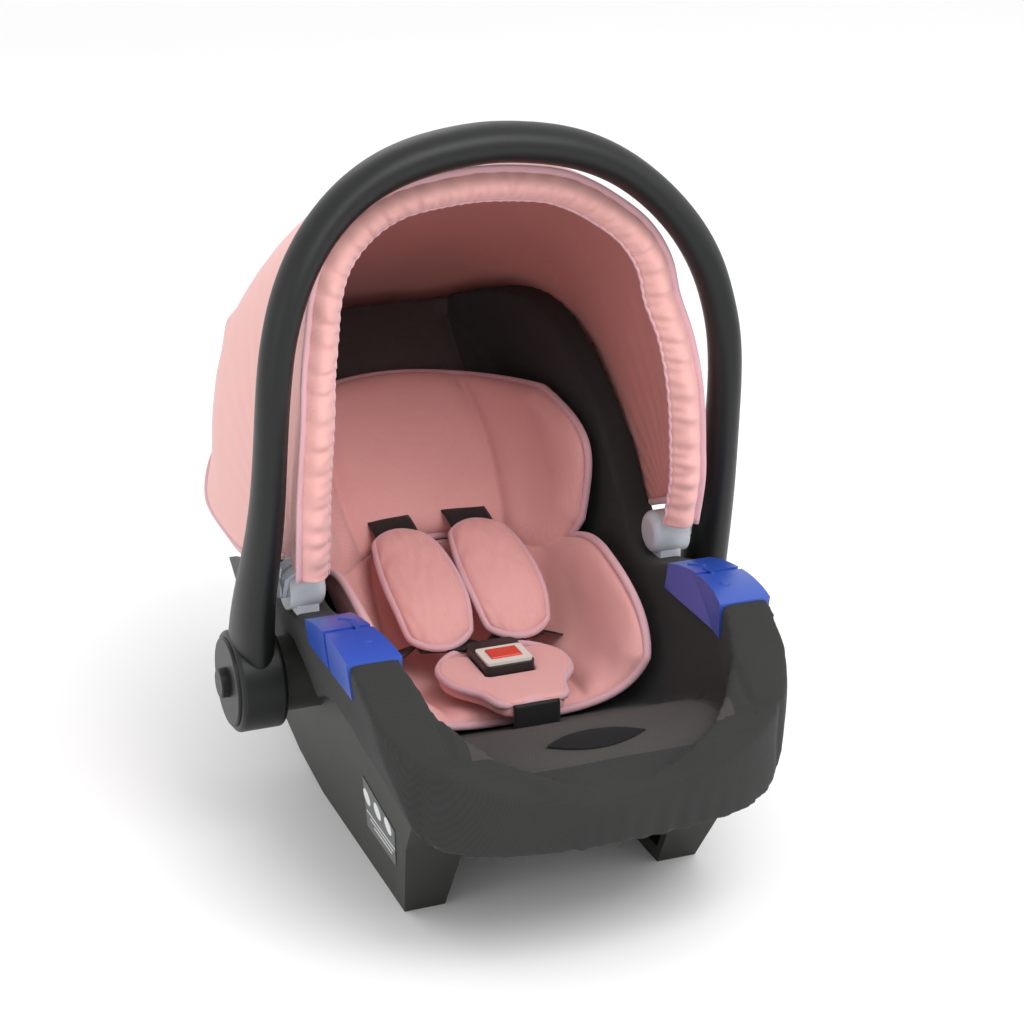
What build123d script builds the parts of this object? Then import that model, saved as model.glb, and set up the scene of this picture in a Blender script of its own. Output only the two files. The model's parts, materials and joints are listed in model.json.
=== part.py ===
from build123d import *
import os
from math import hypot

# Infant car seat with a carry handle, in millimetres. The child faces -Y, +Z is up, and the origin is
# on the floor under the middle of the seat's box. Outlines are lists of (Y, Z), (Y, X) or (X, Z) points.

# ---- Driving dimensions
HALF_LENGTH = 327.5
COVER_THICK = 8.0          # padded cover over the rim and the outside
LINER_COVER_THICK = 7.0    # padded cover over the foam
SHELL_WALL = 4.0
FOAM_THICK = 16.0
GAP = 0.3                  # air between neighbours that only lie against each other
RUN_CLEARANCE = 0.06       # radial play of everything that turns or slides
HANDLE_AIR = 3.0           # least room between the turning handle and what it passes

HUB_Y, HUB_Z = -32.0, 140.0
HUB_RADIUS = 41.0
HUB_INNER_X, HUB_OUTER_X = 174.5, 212.0
POCKET_RADIUS, POCKET_FLOOR_X = 24.0, 180.5
SOCKET_RADIUS, SPIGOT_RADIUS = 30.0, 17.0
HUB_CAP_RADIUS, HUB_CAP_THICK = 36.0, 2.5
RING_RADIUS, RING_INNER_X, RING_OUTER_X = 21.0, 193.5, 202.9
RING_KEY_REACH, RING_KEY_WIDTH = 26.5, 8.0
KEY_ANGLES = (30, 150, 270)
BUTTON_RADIUS, BUTTON_OUTER_X = 12.0, 221.0

HINGE_Y, HINGE_Z = -52.0, 223.0
HINGE_PIN_RADIUS = 5.0
BARREL_RADIUS = 18.0
BARREL_INNER_X, BARREL_OUTER_X = 140.0, 170.0
BLADE_THICK, BLADE_WIDTH = 3.6, 17.0
CANOPY_THICK = 3.0
BOW_RADIUS = 4.0

WEBBING_WIDTH, WEBBING_THICK = 38.0, 1.6
PAD_SIDE_X = (6.0, 62.0)         # inner and outer edge of a shoulder pad
STRAP_SIDE_X = (15.0, 53.0)
SHOULDER_SLOT = (108.0, 186.0)   # Y and Z where the shoulder straps leave the backrest
CROTCH_SLOT_Y = -158.0
LAP_SLOT_X, LAP_SLOT_Y = 88.0, 8.0
BUCKLE_LOW, BUCKLE_HIGH = (-21.0, -104.0, 131.0), (21.0, -52.0, 150.0)
SCREW_RADIUS = 2.0

# ---- Outlines of the seat
COVER_PLAN = [(-HALF_LENGTH, 0), (-319, 76), (-305, 118), (-282, 148), (-242, 166), (-182, 170), (-92, 169),
              (-32, 166), (38, 160), (108, 154), (178, 145), (228, 129), (268, 104), (294, 76),
              (308, 44), (313, 0)]
UNDERSIDE = [(-345, 108), (-318, 105), (-262, 90), (-170, 62), (-70, 46), (20, 48), (100, 72), (190, 138),
             (262, 214), (306, 286), (325, 350)]
RIM = [(-345, 112), (-327, 136), (-306, 164), (-272, 186), (-216, 221), (-160, 226), (-104, 214),
       (-58, 202),
       (-24, 210), (12, 250), (76, 320), (150, 358), (212, 361), (262, 344), (312, 312), (345, 286)]
BUCKET_FRONT = [(84, 30), (112, 60), (136, 100), (152, 142), (162, 184), (168, 230), (168, 420)]
SEAT_SURFACE = [(-330, 132), (-306, 153), (-266, 162), (-214, 148), (-150, 116), (-90, 94), (-34, 86),
                (10, 98),
                (60, 140), (150, 226), (226, 300), (270, 340), (300, 366)]
CAVITY_PLAN = [(-318, 0), (-304, 68), (-276, 104), (-226, 128), (-160, 137), (-90, 139), (-20, 138),
               (60, 135),
               (140, 127), (200, 114), (244, 88), (270, 56), (281, 28), (285, 0)]
CAVITY_FRONT = [(88, 60), (104, 100), (120, 140), (131, 180), (138, 230), (140, 290), (140, 420)]
COVER_HEM = [(-345, 106), (-292, 112), (-256, 134), (-200, 148), (-150, 156), (-93, 146), (-23, 110),
             (60, 120),
             (160, 190), (240, 262), (345, 330)]

# ---- Outlines of the rocker base
BASE_SIDE = [(-192, 0), (16, 0), (76, 13), (132, 44), (182, 96), (204, 146), (120, 176), (-120, 176),
             (-268, 116), (-236, 80)]
BASE_FRONT = [(90, 0), (123, 0), (151, 170), (145, 170), (117.5, 16), (90, 13)]
FOOT_FRONT = [(-192, 0), (-184, 0), (-228, 80), (-258, 114), (-268, 116), (-236, 80)]
FOOT_FACE = [(90, 0), (123, 0), (151, 170), (84, 170)]
WEB_Y = (-110.0, 10.0)
LABEL_THICK = 0.6
WEB_SCREW_X = 70.0

# ---- Handle: right half of the centre line as (X, Y, Z), with half thickness and half depth at each point
HANDLE_LINE = [(194, -34, 166), (194.5, -50, 208), (192, -67, 255), (189, -81, 305), (187, -89, 355),
               (183, -91, 405), (172, -85, 452), (151, -74, 492), (120, -63, 524), (84, -57, 545),
               (44, -54, 556),
               (0, -53, 560)]
HANDLE_OVAL = [(17, 31), (16, 26), (14.5, 21), (13.2, 18), (12.6, 17), (12.8, 17), (13.2, 17), (13.6, 17.5),
               (14, 18.5), (15, 20), (15.5, 21), (15.5, 21)]

# ---- Canopy arches from front to back as (Y, half width, top), its front edge and its lower hem
CANOPY_BASE, ARCH_POWER = 150.0, 3.6
CANOPY_ARCHES = [(-110, 164, 518), (-50, 167, 536), (30, 167, 522), (110, 167, 482), (180, 164, 436),
                 (240, 150, 392), (290, 122, 350), (316, 84, 322), (HALF_LENGTH, 40, 296)]
CANOPY_FRONT = [(-62, 250), (-82, 275), (-91, 325), (-84, 390), (-66, 452), (-46, 498), (-38, 528),
                (-36, 560)]
CANOPY_HEM = [(-62, 250), (-20, 232), (60, 196), (150, 178), (230, 190), (345, 240)]
BOW_LINE = [(155, -78, 272), (153.5, -85, 325), (148.5, -79, 380), (138, -66, 432), (120, -51, 474),
            (94, -43, 499), (53, -38, 518), (0, -36, 523)]

# ---- Outlines of the pads seen from the side
HEAD_PAD_SIDE = [(98, 172), (50, 234), (22, 264), (25, 300), (62, 330), (226, 335), (226, 280), (150, 180)]
BODY_PAD_SIDE = [(-138, 96), (-130, 165), (-96, 206), (-40, 214), (14, 206), (52, 196), (88, 166),
                 (120, 150),
                 (60, 70), (-60, 60)]

os.makedirs("parts", exist_ok=True)
PARTS = {}


def keep(name, shape):
    """Remember a finished piece under its node name."""
    PARTS[name] = shape


def keep_both(name, right):
    """Keep a right-hand piece and its mirror image as two nodes."""
    keep(name + "_right", right)
    keep(name + "_left", mirror(right, about=Plane.YZ))


def largest(shape):
    """The largest solid of a cut, without the slivers that it may leave."""
    return max(shape.solids(), key=lambda solid: solid.volume)


def box_between(low, high):
    """A box given by its lowest and highest corners."""
    size = [h - l for l, h in zip(low, high)]
    return Pos(*[(l + h) / 2 for l, h in zip(low, high)]) * Box(*size)


def x_cylinder(radius, x0, x1, y, z):
    """A cylinder along X from x0 to x1."""
    return Pos((x0 + x1) / 2, y, z) * Rot(0, 90, 0) * Cylinder(radius, abs(x1 - x0))


def hub_disc(radius, x0, x1):
    """A disc on the handle's axis."""
    return x_cylinder(radius, x0, x1, HUB_Y, HUB_Z)


def side_slab(points, half_width=260.0):
    """A straight-edged outline seen from the side, extruded across the seat."""
    return extrude(Plane.YZ * make_face(Polyline(*points, close=True)), amount=half_width, both=True)


def side_under(line, floor=-50.0):
    """Everything below a smooth line seen from the side, or above it when floor lies higher."""
    walls = Polyline(line[-1], (line[-1][0], floor), (line[0][0], floor), line[0])
    return extrude(Plane.YZ * make_face([Spline(*line), *walls.edges()]), amount=260, both=True)


def lifted(points, by):
    """An outline moved up, or down for a negative amount."""
    return [(p, q + by) for p, q in points]


def plan_solid(points, by):
    """A vertical solid with the given half outline from above, grown by an amount."""
    half = [(x + (by if x else 0), y) for y, x in points]
    half[0] = (0, half[0][1] - by)
    half[-1] = (0, half[-1][1] + by)
    return extrude(make_face([Spline(*half), Spline(*[(-x, y) for x, y in half[::-1]])]), amount=460)


def front_solid(points, by):
    """A solid along Y whose half width changes with height, grown by an amount."""
    half = [(x + by, z) for x, z in points]
    other = [(-x, z) for x, z in half[::-1]]
    outline = [Spline(*half), Line(half[-1], other[0]), Spline(*other), Line(other[-1], half[0])]
    return extrude(Plane.XZ * make_face(outline), amount=400, both=True)


def bucket(by):
    """The full outer volume of the seat, grown by an amount, without its hollow."""
    body = side_under(lifted(UNDERSIDE, -by), floor=460) & plan_solid(COVER_PLAN, by)
    return body & front_solid(BUCKET_FRONT, by) & side_under(lifted(RIM, by))


def hollow(by):
    """The sitting space, grown by an amount."""
    space = side_under(lifted(SEAT_SURFACE, -by), floor=460) & plan_solid(CAVITY_PLAN, by)
    return space & front_solid(CAVITY_FRONT, by)


def strip(line, thick, x0, x1):
    """A ribbon across X whose middle follows straight runs seen from the side."""
    upper, lower = [], []
    for i, (y, z) in enumerate(line):
        (ya, za), (yb, zb) = line[max(i - 1, 0)], line[min(i + 1, len(line) - 1)]
        half = thick / 2 / hypot(yb - ya, zb - za)
        upper.append((y - (zb - za) * half, z + (yb - ya) * half))
        lower.append((y + (zb - za) * half, z - (yb - ya) * half))
    outline = Polyline(*upper, *lower[::-1], close=True)
    return extrude(Plane.YZ.offset(x0) * make_face(outline), amount=x1 - x0)


def bar(line, ovals):
    """A smooth bar through oval sections on a line given for its right half, mirrored to the left."""
    half = [(Vector(*point), oval) for point, oval in zip(line, ovals)]
    path = [(Vector(-p.X, p.Y, p.Z), oval) for p, oval in half] + half[-2::-1]
    faces = []
    for i, (point, (across_half, deep_half)) in enumerate(path):
        run = path[min(i + 1, len(path) - 1)][0] - path[max(i - 1, 0)][0]
        plane = Plane(origin=point, x_dir=Vector(0, 1, 0).cross(run), z_dir=run)
        faces.append(plane * Ellipse(across_half, deep_half).face())
    return loft(faces)


def sweep_space(gap):
    """The space inside the turning handle: its inner profile turned about the hub axis."""
    profile = [(HUB_INNER_X + 30, 0.0), (HUB_INNER_X + 30, 90.0)]
    previous = None
    for (x, y, z), (thick, _) in zip(HANDLE_LINE[2:], HANDLE_OVAL[2:]):
        radius = hypot(y - HUB_Y, z - HUB_Z)
        if previous:
            dx, dr = x - previous[0], radius - previous[1]
            reach = (thick + gap) / hypot(dx, dr)
            profile.append((x - dr * reach, radius + dx * reach))
        previous = (x, radius)
    profile[-1] = (0.0, profile[-1][1])
    whole = [(-x, r) for x, r in profile[:-1]] + profile[::-1]
    face = Pos(0, HUB_Y, HUB_Z) * make_face(Polyline(*whole, close=True))
    return revolve(face, Axis((0, HUB_Y, HUB_Z), (1, 0, 0)))


def canopy_volume(inset):
    """The canopy's full volume, through arches that stand one behind the other."""
    faces = []
    for y, width, top in CANOPY_ARCHES:
        width, rise = width - inset, top - CANOPY_BASE - inset
        arch = []
        for step in range(-6, 7):
            turn = Vector(0, 1, 0).rotate(Axis.Z, -15 * step)
            across = abs(turn.X) ** (2 / ARCH_POWER) * width * (1 if step > 0 else -1)
            arch.append((across if step else 0, abs(turn.Y) ** (2 / ARCH_POWER) * rise))
        plane = Plane(origin=(0, y, CANOPY_BASE), x_dir=(1, 0, 0), z_dir=(0, -1, 0))
        faces.append(plane * make_face([Spline(*arch), Line(arch[-1], arch[0])]))
    return loft(faces)


# ---- Handle with its hub housings
handle_bar = bar(HANDLE_LINE, HANDLE_OVAL)
for side in (-1, 1):
    housing = hub_disc(HUB_RADIUS, side * HUB_INNER_X, side * HUB_OUTER_X)
    handle_bar += fillet(housing.edges().filter_by(GeomType.CIRCLE), 4)
    handle_bar -= hub_disc(POCKET_RADIUS, side * POCKET_FLOOR_X, side * (HUB_OUTER_X + 30))
    handle_bar -= hub_disc(SPIGOT_RADIUS + RUN_CLEARANCE, side * (HUB_INNER_X - 10),
                           side * (POCKET_FLOOR_X + 1))
    for angle in KEY_ANGLES:
        groove = box_between((-9, -RING_KEY_WIDTH / 2 - RUN_CLEARANCE, 0),
                             (9, RING_KEY_WIDTH / 2 + RUN_CLEARANCE, RING_KEY_REACH + RUN_CLEARANCE))
        handle_bar -= Pos(side * 195, HUB_Y, HUB_Z) * Rot(angle, 0, 0) * groove
keep("handle_bar", largest(handle_bar))

# ---- Hub parts on the right side
socket = hub_disc(SOCKET_RADIUS, 140, HUB_INNER_X - GAP) + hub_disc(SPIGOT_RADIUS, 150, POCKET_FLOOR_X)
bolt_end_x = POCKET_FLOOR_X + 3.6
pivot_bolt = hub_disc(5, 146, bolt_end_x) + hub_disc(20, POCKET_FLOOR_X + 0.5, bolt_end_x)
hub_cap = hub_disc(POCKET_RADIUS, RING_OUTER_X + 0.1, HUB_OUTER_X)
hub_cap += fillet(hub_disc(HUB_CAP_RADIUS, HUB_OUTER_X, HUB_OUTER_X + HUB_CAP_THICK).faces()
                  .sort_by(Axis.X)[-1].edges(), 1.8)
hub_cap -= hub_disc(BUTTON_RADIUS + RUN_CLEARANCE, 190, 230)
lock_ring = hub_disc(RING_RADIUS, RING_INNER_X, RING_OUTER_X)
for angle in KEY_ANGLES:
    key = box_between((RING_INNER_X, -RING_KEY_WIDTH / 2, 15),
                      (RING_OUTER_X, RING_KEY_WIDTH / 2, RING_KEY_REACH))
    lock_ring += Pos(0, HUB_Y, HUB_Z) * Rot(angle, 0, 0) * key
lock_ring -= hub_disc(BUTTON_RADIUS, RING_INNER_X - 1, RING_OUTER_X - 3)
release_button = hub_disc(BUTTON_RADIUS, RING_OUTER_X, BUTTON_OUTER_X)
release_button = fillet(release_button.faces().sort_by(Axis.X)[-1].edges(), 1.5)
release_spring = hub_disc(10.5, bolt_end_x + 0.1, RING_OUTER_X - 3.1) - hub_disc(8.5, 180, 210)

# ---- Shell, foam liner and cover
core = bucket(-COVER_THICK)
handle_space = sweep_space(HANDLE_AIR)
foam_hollow = hollow(LINER_COVER_THICK)
seat_shell = core - bucket(-COVER_THICK - SHELL_WALL) - foam_hollow
foam_liner = (bucket(-COVER_THICK - SHELL_WALL - GAP) & hollow(LINER_COVER_THICK + FOAM_THICK)) - foam_hollow
outer = bucket(0) & handle_space
below_hem = side_under(COVER_HEM)
cover_inside = bucket(GAP - COVER_THICK) - hollow(LINER_COVER_THICK - GAP)
seat_cover = outer - hollow(0) - cover_inside - (below_hem - core)

through_all = [box_between((-WEBBING_WIDTH / 2 - 3, CROTCH_SLOT_Y - 4, 20),
                           (WEBBING_WIDTH / 2 + 3, CROTCH_SLOT_Y + 4, 170))]
socket_rooms = []
for side in (-1, 1):
    strap_x = side * sum(STRAP_SIDE_X) / 2
    lap_x = side * LAP_SLOT_X
    through_all += [Pos(strap_x, *SHOULDER_SLOT) * Rot(-45, 0, 0) * Box(WEBBING_WIDTH + 6, 190, 8),
                    box_between((lap_x - 4, LAP_SLOT_Y - 22, 20), (lap_x + 4, LAP_SLOT_Y + 22, 130)),
                    hub_disc(5 + GAP, side * 130, side * 150)]
    through_all += [Pos(side * WEB_SCREW_X, y, 0) * Cylinder(SCREW_RADIUS, 170) for y in WEB_Y]
    socket_rooms.append(hub_disc(SOCKET_RADIUS + GAP, side * 138, side * 190))
for slot in through_all:
    seat_shell, foam_liner, seat_cover = seat_shell - slot, foam_liner - slot, seat_cover - slot
for room in socket_rooms:
    seat_cover -= room
seat_shell, foam_liner, seat_cover = largest(seat_shell), largest(foam_liner), largest(seat_cover)
socket = largest(socket - core)

# ---- Rocker base: two side skirts with feet, joined by two webs, fitted under the shell
skirt = side_slab(BASE_SIDE, 160) & extrude(Plane.XZ * make_face(Polyline(*BASE_FRONT, close=True)),
                                            amount=300, both=True)
front_wall = side_slab(FOOT_FRONT, 160) & extrude(Plane.XZ * make_face(Polyline(*FOOT_FACE, close=True)),
                                                  amount=300, both=True)
skirt += front_wall
rocker_base = skirt + mirror(skirt, about=Plane.YZ)
for y in WEB_Y:
    rocker_base += box_between((-119, y - 12, 14), (119, y + 12, 100))
rocker_base = rocker_base - core - (bucket(GAP) - below_hem) - socket_rooms[0] - socket_rooms[1]
base_screws = []
for side in (-1, 1):
    for y in WEB_Y:
        screw = Pos(side * WEB_SCREW_X, y, 0) * (Pos(0, 0, 36) * Cylinder(SCREW_RADIUS, 48)
                                                 + Pos(0, 0, 11.5) * Cylinder(4, 5))
        base_screws.append(screw)
        rocker_base -= screw
keep("rocker_base", largest(rocker_base))
keep("base_screws", Compound(base_screws))

# ---- Side labels, set on the skirts
label_region = side_slab([(-214, 84), (-196, 44), (-128, 44), (-146, 98)], 160)
lean = (BASE_FRONT[2][0] - BASE_FRONT[1][0]) / BASE_FRONT[2][1]
label_front = [(BASE_FRONT[1][0] + lean * z + out, z) for z, out in ((30, 0), (120, 0), (120, LABEL_THICK),
               (30, LABEL_THICK))]
label_face = Plane.XZ * make_face(Polyline(*label_front, close=True))
side_label = label_region & extrude(label_face, amount=300, both=True)
keep_both("side_label", largest(side_label))

keep_both("pivot_socket", largest(socket - hub_disc(5, 140, 190)))
keep_both("pivot_bolt", pivot_bolt)
keep_both("hub_cap", largest(hub_cap))
keep_both("lock_ring", largest(lock_ring))
keep_both("release_button", release_button)
keep_both("release_spring", release_spring)

# ---- Canopy: clips on the rim, blades that turn on pins, the bow and the fabric
barrel = x_cylinder(BARREL_RADIUS, BARREL_INNER_X, BARREL_OUTER_X, HINGE_Y, HINGE_Z)
barrel = fillet(barrel.faces().sort_by(Axis.X)[0].edges(), 7)
clip_foot = box_between((146, HINGE_Y - 13, 198), (164, HINGE_Y + 13, HINGE_Z)) - bucket(GAP)
clip_tongue = box_between((149.5, HINGE_Y - 8, 190), (155.5, HINGE_Y + 8, HINGE_Z)) - core
canopy_clip = barrel + clip_foot + clip_tongue - x_cylinder(HINGE_PIN_RADIUS, 148, 180, HINGE_Y, HINGE_Z)
for side in (-1, 1):
    seat_cover -= box_between((side * 152.5 - 3.3, HINGE_Y - 8.3, 188),
                              (side * 152.5 + 3.3, HINGE_Y + 8.3, HINGE_Z))
keep_both("canopy_clip", largest(canopy_clip))
canopy_pin = x_cylinder(HINGE_PIN_RADIUS, 148, 175.4, HINGE_Y, HINGE_Z)
canopy_pin += x_cylinder(8, BARREL_OUTER_X + BLADE_THICK + 0.5, 175.8, HINGE_Y, HINGE_Z)
keep_both("canopy_pin", canopy_pin)

blade_x = BARREL_OUTER_X + 0.3
blade_path = [(blade_x, 0), (blade_x, 20), (157, 34), (157, 62)]
blade_out = [(x + BLADE_THICK, z) for x, z in blade_path]
blade_face = Plane.XZ * make_face(Polyline(*blade_path, *blade_out[::-1], close=True))
blade = extrude(blade_face, amount=BLADE_WIDTH / 2, both=True)
blade += x_cylinder(BLADE_WIDTH / 2, blade_x, blade_x + BLADE_THICK, 0, 0)
blade -= x_cylinder(HINGE_PIN_RADIUS + RUN_CLEARANCE, 160, 180, 0, 0)
blade -= box_between((150, -1.5, 13), (180, 1.5, 48))
blade = Pos(0, HINGE_Y, HINGE_Z) * Rot(30, 0, 0) * blade
keep_both("canopy_blade", largest(blade))
keep("canopy_bow", bar(BOW_LINE, [(BOW_RADIUS, BOW_RADIUS)] * len(BOW_LINE)))

canopy_side = Plane.YZ * make_face([Spline(*CANOPY_FRONT), Spline(*CANOPY_HEM),
                                    *Polyline(CANOPY_HEM[-1], (345, 560), CANOPY_FRONT[-1]).edges()])
canopy = (canopy_volume(0) & handle_space) - canopy_volume(CANOPY_THICK)
canopy = (canopy & extrude(canopy_side, amount=260, both=True)) - bucket(0.6)
keep("canopy_fabric", largest(canopy))

# ---- Belt guides: saddles over the rim, and the guide behind the backrest
saddle = bucket(3.2) - hollow(-3.2) - (bucket(GAP) - hollow(-GAP))
saddle &= box_between((126, -212, 197), (176, -106, 260))
saddle -= box_between((130, -162, 190), (176, -156, 260)) - bucket(1.6)
keep_both("belt_guide", largest(saddle))
rear_guide = (bucket(-1.5) - core) & box_between((-70, 196, 100), (70, 246, 230))
rear_guide = largest(rear_guide - (bucket(GAP) - below_hem))
for side in (-1, 1):
    hook = box_between((side * 62 - 6, 200, 100), (side * 62 + 6, 240, 230)) & (bucket(8) - bucket(-1.5))
    rear_guide += largest(hook - (bucket(GAP) - below_hem))
keep("rear_belt_guide", largest(rear_guide))

# ---- Harness
buckle = fillet(box_between(BUCKLE_LOW, BUCKLE_HIGH).edges().filter_by(Axis.Z), 6)
bezel = fillet((box_between((-19.5, -101, 150), (19.5, -71, 152.5))).edges().filter_by(Axis.Z), 3)
window = box_between((-13.1, -94.1, 140.5), (13.1, -76.9, 160))
bezel -= window
buckle -= window + Pos(0, -85.5, 142) * Cylinder(5, 12)
button = fillet(box_between((-13, -94, 145.5), (13, -77, 154)).edges().group_by(Axis.Z)[-1], 1)
buckle_spring = Pos(0, -85.5, 140.8) * (Cylinder(4.6, 9.2) - Cylinder(3.6, 20))
tongue_outline = Polyline((2, -76), (18, -76), (18, -50), (54, -40), (54, -27), (13, -27), (2, -40),
                          close=True)
tongue = Pos(0, 0, 141) * extrude(make_face(tongue_outline), amount=2.4)
for side in (-1, 1):
    buckle -= box_between((min(side * 1.7, side * 18.3), -76.3, 140.7),
                          (max(side * 1.7, side * 18.3), -50, 143.7))
strap_top = (SHOULDER_SLOT[0] - 6, SHOULDER_SLOT[1] + 18)
shoulder_line = [(171.2, 122.8), (SHOULDER_SLOT[0] + 2, SHOULDER_SLOT[1] - 2), strap_top, (40, 188),
                 (-8, 168),
                 (-30, 148.5), (-38, 144.6)]
shoulder_strap = strip(shoulder_line, WEBBING_THICK, *STRAP_SIDE_X)
pad_line = [(95, 204), (40, 188), (-8, 168), (-25, 153)]
shoulder_pad = strip(pad_line, 14, *PAD_SIDE_X) - strip(shoulder_line, WEBBING_THICK + 0.8,
                                                        STRAP_SIDE_X[0] - 0.4, STRAP_SIDE_X[1] + 0.4)
lap_middle, lap_run = Vector(70, -10, 127.5), Vector(-37, -37, 27)
lap_plane = Plane(origin=lap_middle, x_dir=lap_run, z_dir=Vector(27, 27, 74))
lap_strap = lap_plane * Box(46, 30, WEBBING_THICK)
crotch_line = [(CROTCH_SLOT_Y, 62.9), (CROTCH_SLOT_Y, 133), (-150, 139), (-104, 139)]
crotch_strap = strip(crotch_line, WEBBING_THICK, -WEBBING_WIDTH / 2, WEBBING_WIDTH / 2)
keep("buckle_body", largest(buckle))
keep("buckle_bezel", bezel)
keep("buckle_button", button)
keep("buckle_spring", buckle_spring)
keep_both("tongue", tongue)
keep_both("shoulder_strap", shoulder_strap)
keep_both("shoulder_pad", largest(shoulder_pad))
keep_both("lap_strap", lap_strap)
keep("crotch_strap", crotch_strap)
keep("harness_yoke", Pos(0, 173.2, 120.8) * Rot(-45, 0, 0) * Box(112, 2, 26))

# ---- Pads inside the seat
crotch_outline = [(0, -151), (26, -150), (34, -128), (50, -104), (52, -76), (38, -54), (20, -44), (0, -44)]
crotch_face = make_face([Spline(*crotch_outline), Spline(*[(-x, y) for x, y in crotch_outline[::-1]])])
crotch_pad = Pos(0, 0, 129.5) * extrude(crotch_face, amount=14)
crotch_pad -= box_between([v - 0.5 for v in BUCKLE_LOW], [v + 0.5 for v in BUCKLE_HIGH])
crotch_pad -= strip(crotch_line, WEBBING_THICK + 0.8, -WEBBING_WIDTH / 2 - 0.4, WEBBING_WIDTH / 2 + 0.4)
crotch_pad -= box_between((-60, -60, 139.5), (60, -26, 150))
keep("crotch_pad", largest(crotch_pad))
lining = hollow(-0.4)
body_pad = (lining - hollow(-15)) & side_slab(BODY_PAD_SIDE)
head_pad = (lining - hollow(-20)) & side_slab(HEAD_PAD_SIDE)
lap_room = lap_plane * Box(50, 32, WEBBING_THICK + 1)
strap_room = strip(shoulder_line, WEBBING_THICK + 1.4, STRAP_SIDE_X[0] - 0.6, STRAP_SIDE_X[1] + 0.6)
for room in (lap_room, strap_room, crotch_pad, shoulder_pad, tongue):
    for room_side in (room, mirror(room, about=Plane.YZ)):
        body_pad, head_pad = body_pad - room_side, head_pad - room_side
keep("body_pad", largest(body_pad))
keep("head_pad", largest(head_pad))
label_side = make_face([Spline((-40, -274), (0, -286), (40, -274)), Spline((40, -274), (0, -258), (-40, -274))])
label_patch = (lining - hollow(-1.4)) & extrude(label_side, amount=300)
keep("label_patch", largest(label_patch))
keep("crotch_anchor", Pos(0, CROTCH_SLOT_Y, 61.4) * Box(60, 22, 3))

keep("seat_shell", seat_shell)
keep("foam_liner", foam_liner)
keep("seat_cover", largest(seat_cover))

for name, shape in PARTS.items():
    export_step(shape, f"parts/{name}.step")
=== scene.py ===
# %% [markdown]
# An infant car seat: a charcoal bucket on a rocker base, pink pads and harness, a pink folding canopy and a
# black carry handle. The CAD model already holds every hard part at its true place and size. Here the soft
# parts get their real form, and every surface gets a finish. Lengths are metres, +Z is up, and the child
# faces -Y, as in the CAD model.

# %% Load the frame
import json
from math import atan2, cos, exp, pi, radians, sin, sqrt

import bmesh
import bpy
from mathutils import Matrix, Vector, noise
from mathutils.geometry import interpolate_bezier
from mathutils.bvhtree import BVHTree


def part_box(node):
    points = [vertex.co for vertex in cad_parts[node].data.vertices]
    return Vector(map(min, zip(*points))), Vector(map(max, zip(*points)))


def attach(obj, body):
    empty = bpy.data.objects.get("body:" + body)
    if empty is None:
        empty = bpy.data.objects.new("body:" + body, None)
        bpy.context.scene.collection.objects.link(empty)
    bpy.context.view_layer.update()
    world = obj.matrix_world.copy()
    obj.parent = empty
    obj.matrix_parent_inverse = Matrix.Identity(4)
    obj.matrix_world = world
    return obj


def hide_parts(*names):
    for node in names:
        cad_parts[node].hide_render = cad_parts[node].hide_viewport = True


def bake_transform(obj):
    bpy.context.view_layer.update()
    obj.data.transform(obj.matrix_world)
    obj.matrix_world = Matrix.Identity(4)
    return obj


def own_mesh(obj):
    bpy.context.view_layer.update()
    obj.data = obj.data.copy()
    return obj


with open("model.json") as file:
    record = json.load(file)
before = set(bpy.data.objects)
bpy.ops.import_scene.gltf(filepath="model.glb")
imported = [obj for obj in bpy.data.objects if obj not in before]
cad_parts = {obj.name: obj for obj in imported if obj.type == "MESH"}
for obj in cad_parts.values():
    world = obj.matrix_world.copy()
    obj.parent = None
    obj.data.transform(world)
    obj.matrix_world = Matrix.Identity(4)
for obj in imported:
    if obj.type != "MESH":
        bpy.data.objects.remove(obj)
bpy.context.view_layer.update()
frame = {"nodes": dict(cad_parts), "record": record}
nodes = frame["nodes"]
hinge_low, hinge_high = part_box("canopy_pin_right")
HINGE = Vector((0, (hinge_low.y + hinge_high.y) / 2, (hinge_low.z + hinge_high.z) / 2))

# %% [markdown]
# The camera stands to the seat's right front, a little above it, and looks down at it. The light is a white
# surround, a large soft lamp from above and the front, and weak lamps at both sides and behind. The floor is
# pale and so wide that its edge is never seen.

# %% Camera, light and floor
CAMERA_TURN, CAMERA_TILT, CAMERA_AWAY = radians(-21.4), radians(21.5), 2.031
LOOK_AT = Vector((0.032, -0.0225, 0.245))
level = cos(CAMERA_TILT)
backwards = Vector((sin(CAMERA_TURN) * level, -cos(CAMERA_TURN) * level, sin(CAMERA_TILT)))
camera = bpy.data.objects.new("camera", bpy.data.cameras.new("camera"))
camera.data.lens = 87.7
camera.location = LOOK_AT + CAMERA_AWAY * backwards
camera.rotation_euler = backwards.to_track_quat("Z", "Y").to_euler()
bpy.context.scene.collection.objects.link(camera)
bpy.context.scene.camera = camera


def soft_light(name, place, size, watts):
    """An area light that points at the seat."""
    lamp = bpy.data.lights.new(name, "AREA")
    lamp.size, lamp.energy = size, watts
    light = bpy.data.objects.new(name, lamp)
    light.location = place
    light.rotation_euler = (Vector(place) - LOOK_AT).to_track_quat("Z", "Y").to_euler()
    bpy.context.scene.collection.objects.link(light)


soft_light("top_light", (0.5, -1.5, 2.3), 1.4, 30)
soft_light("left_light", (-2.2, -1.0, 1.1), 1.3, 5)
soft_light("right_light", (2.2, -0.6, 1.3), 1.3, 5)
soft_light("back_light", (0.2, 2.0, 1.8), 1.2, 6)

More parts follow.
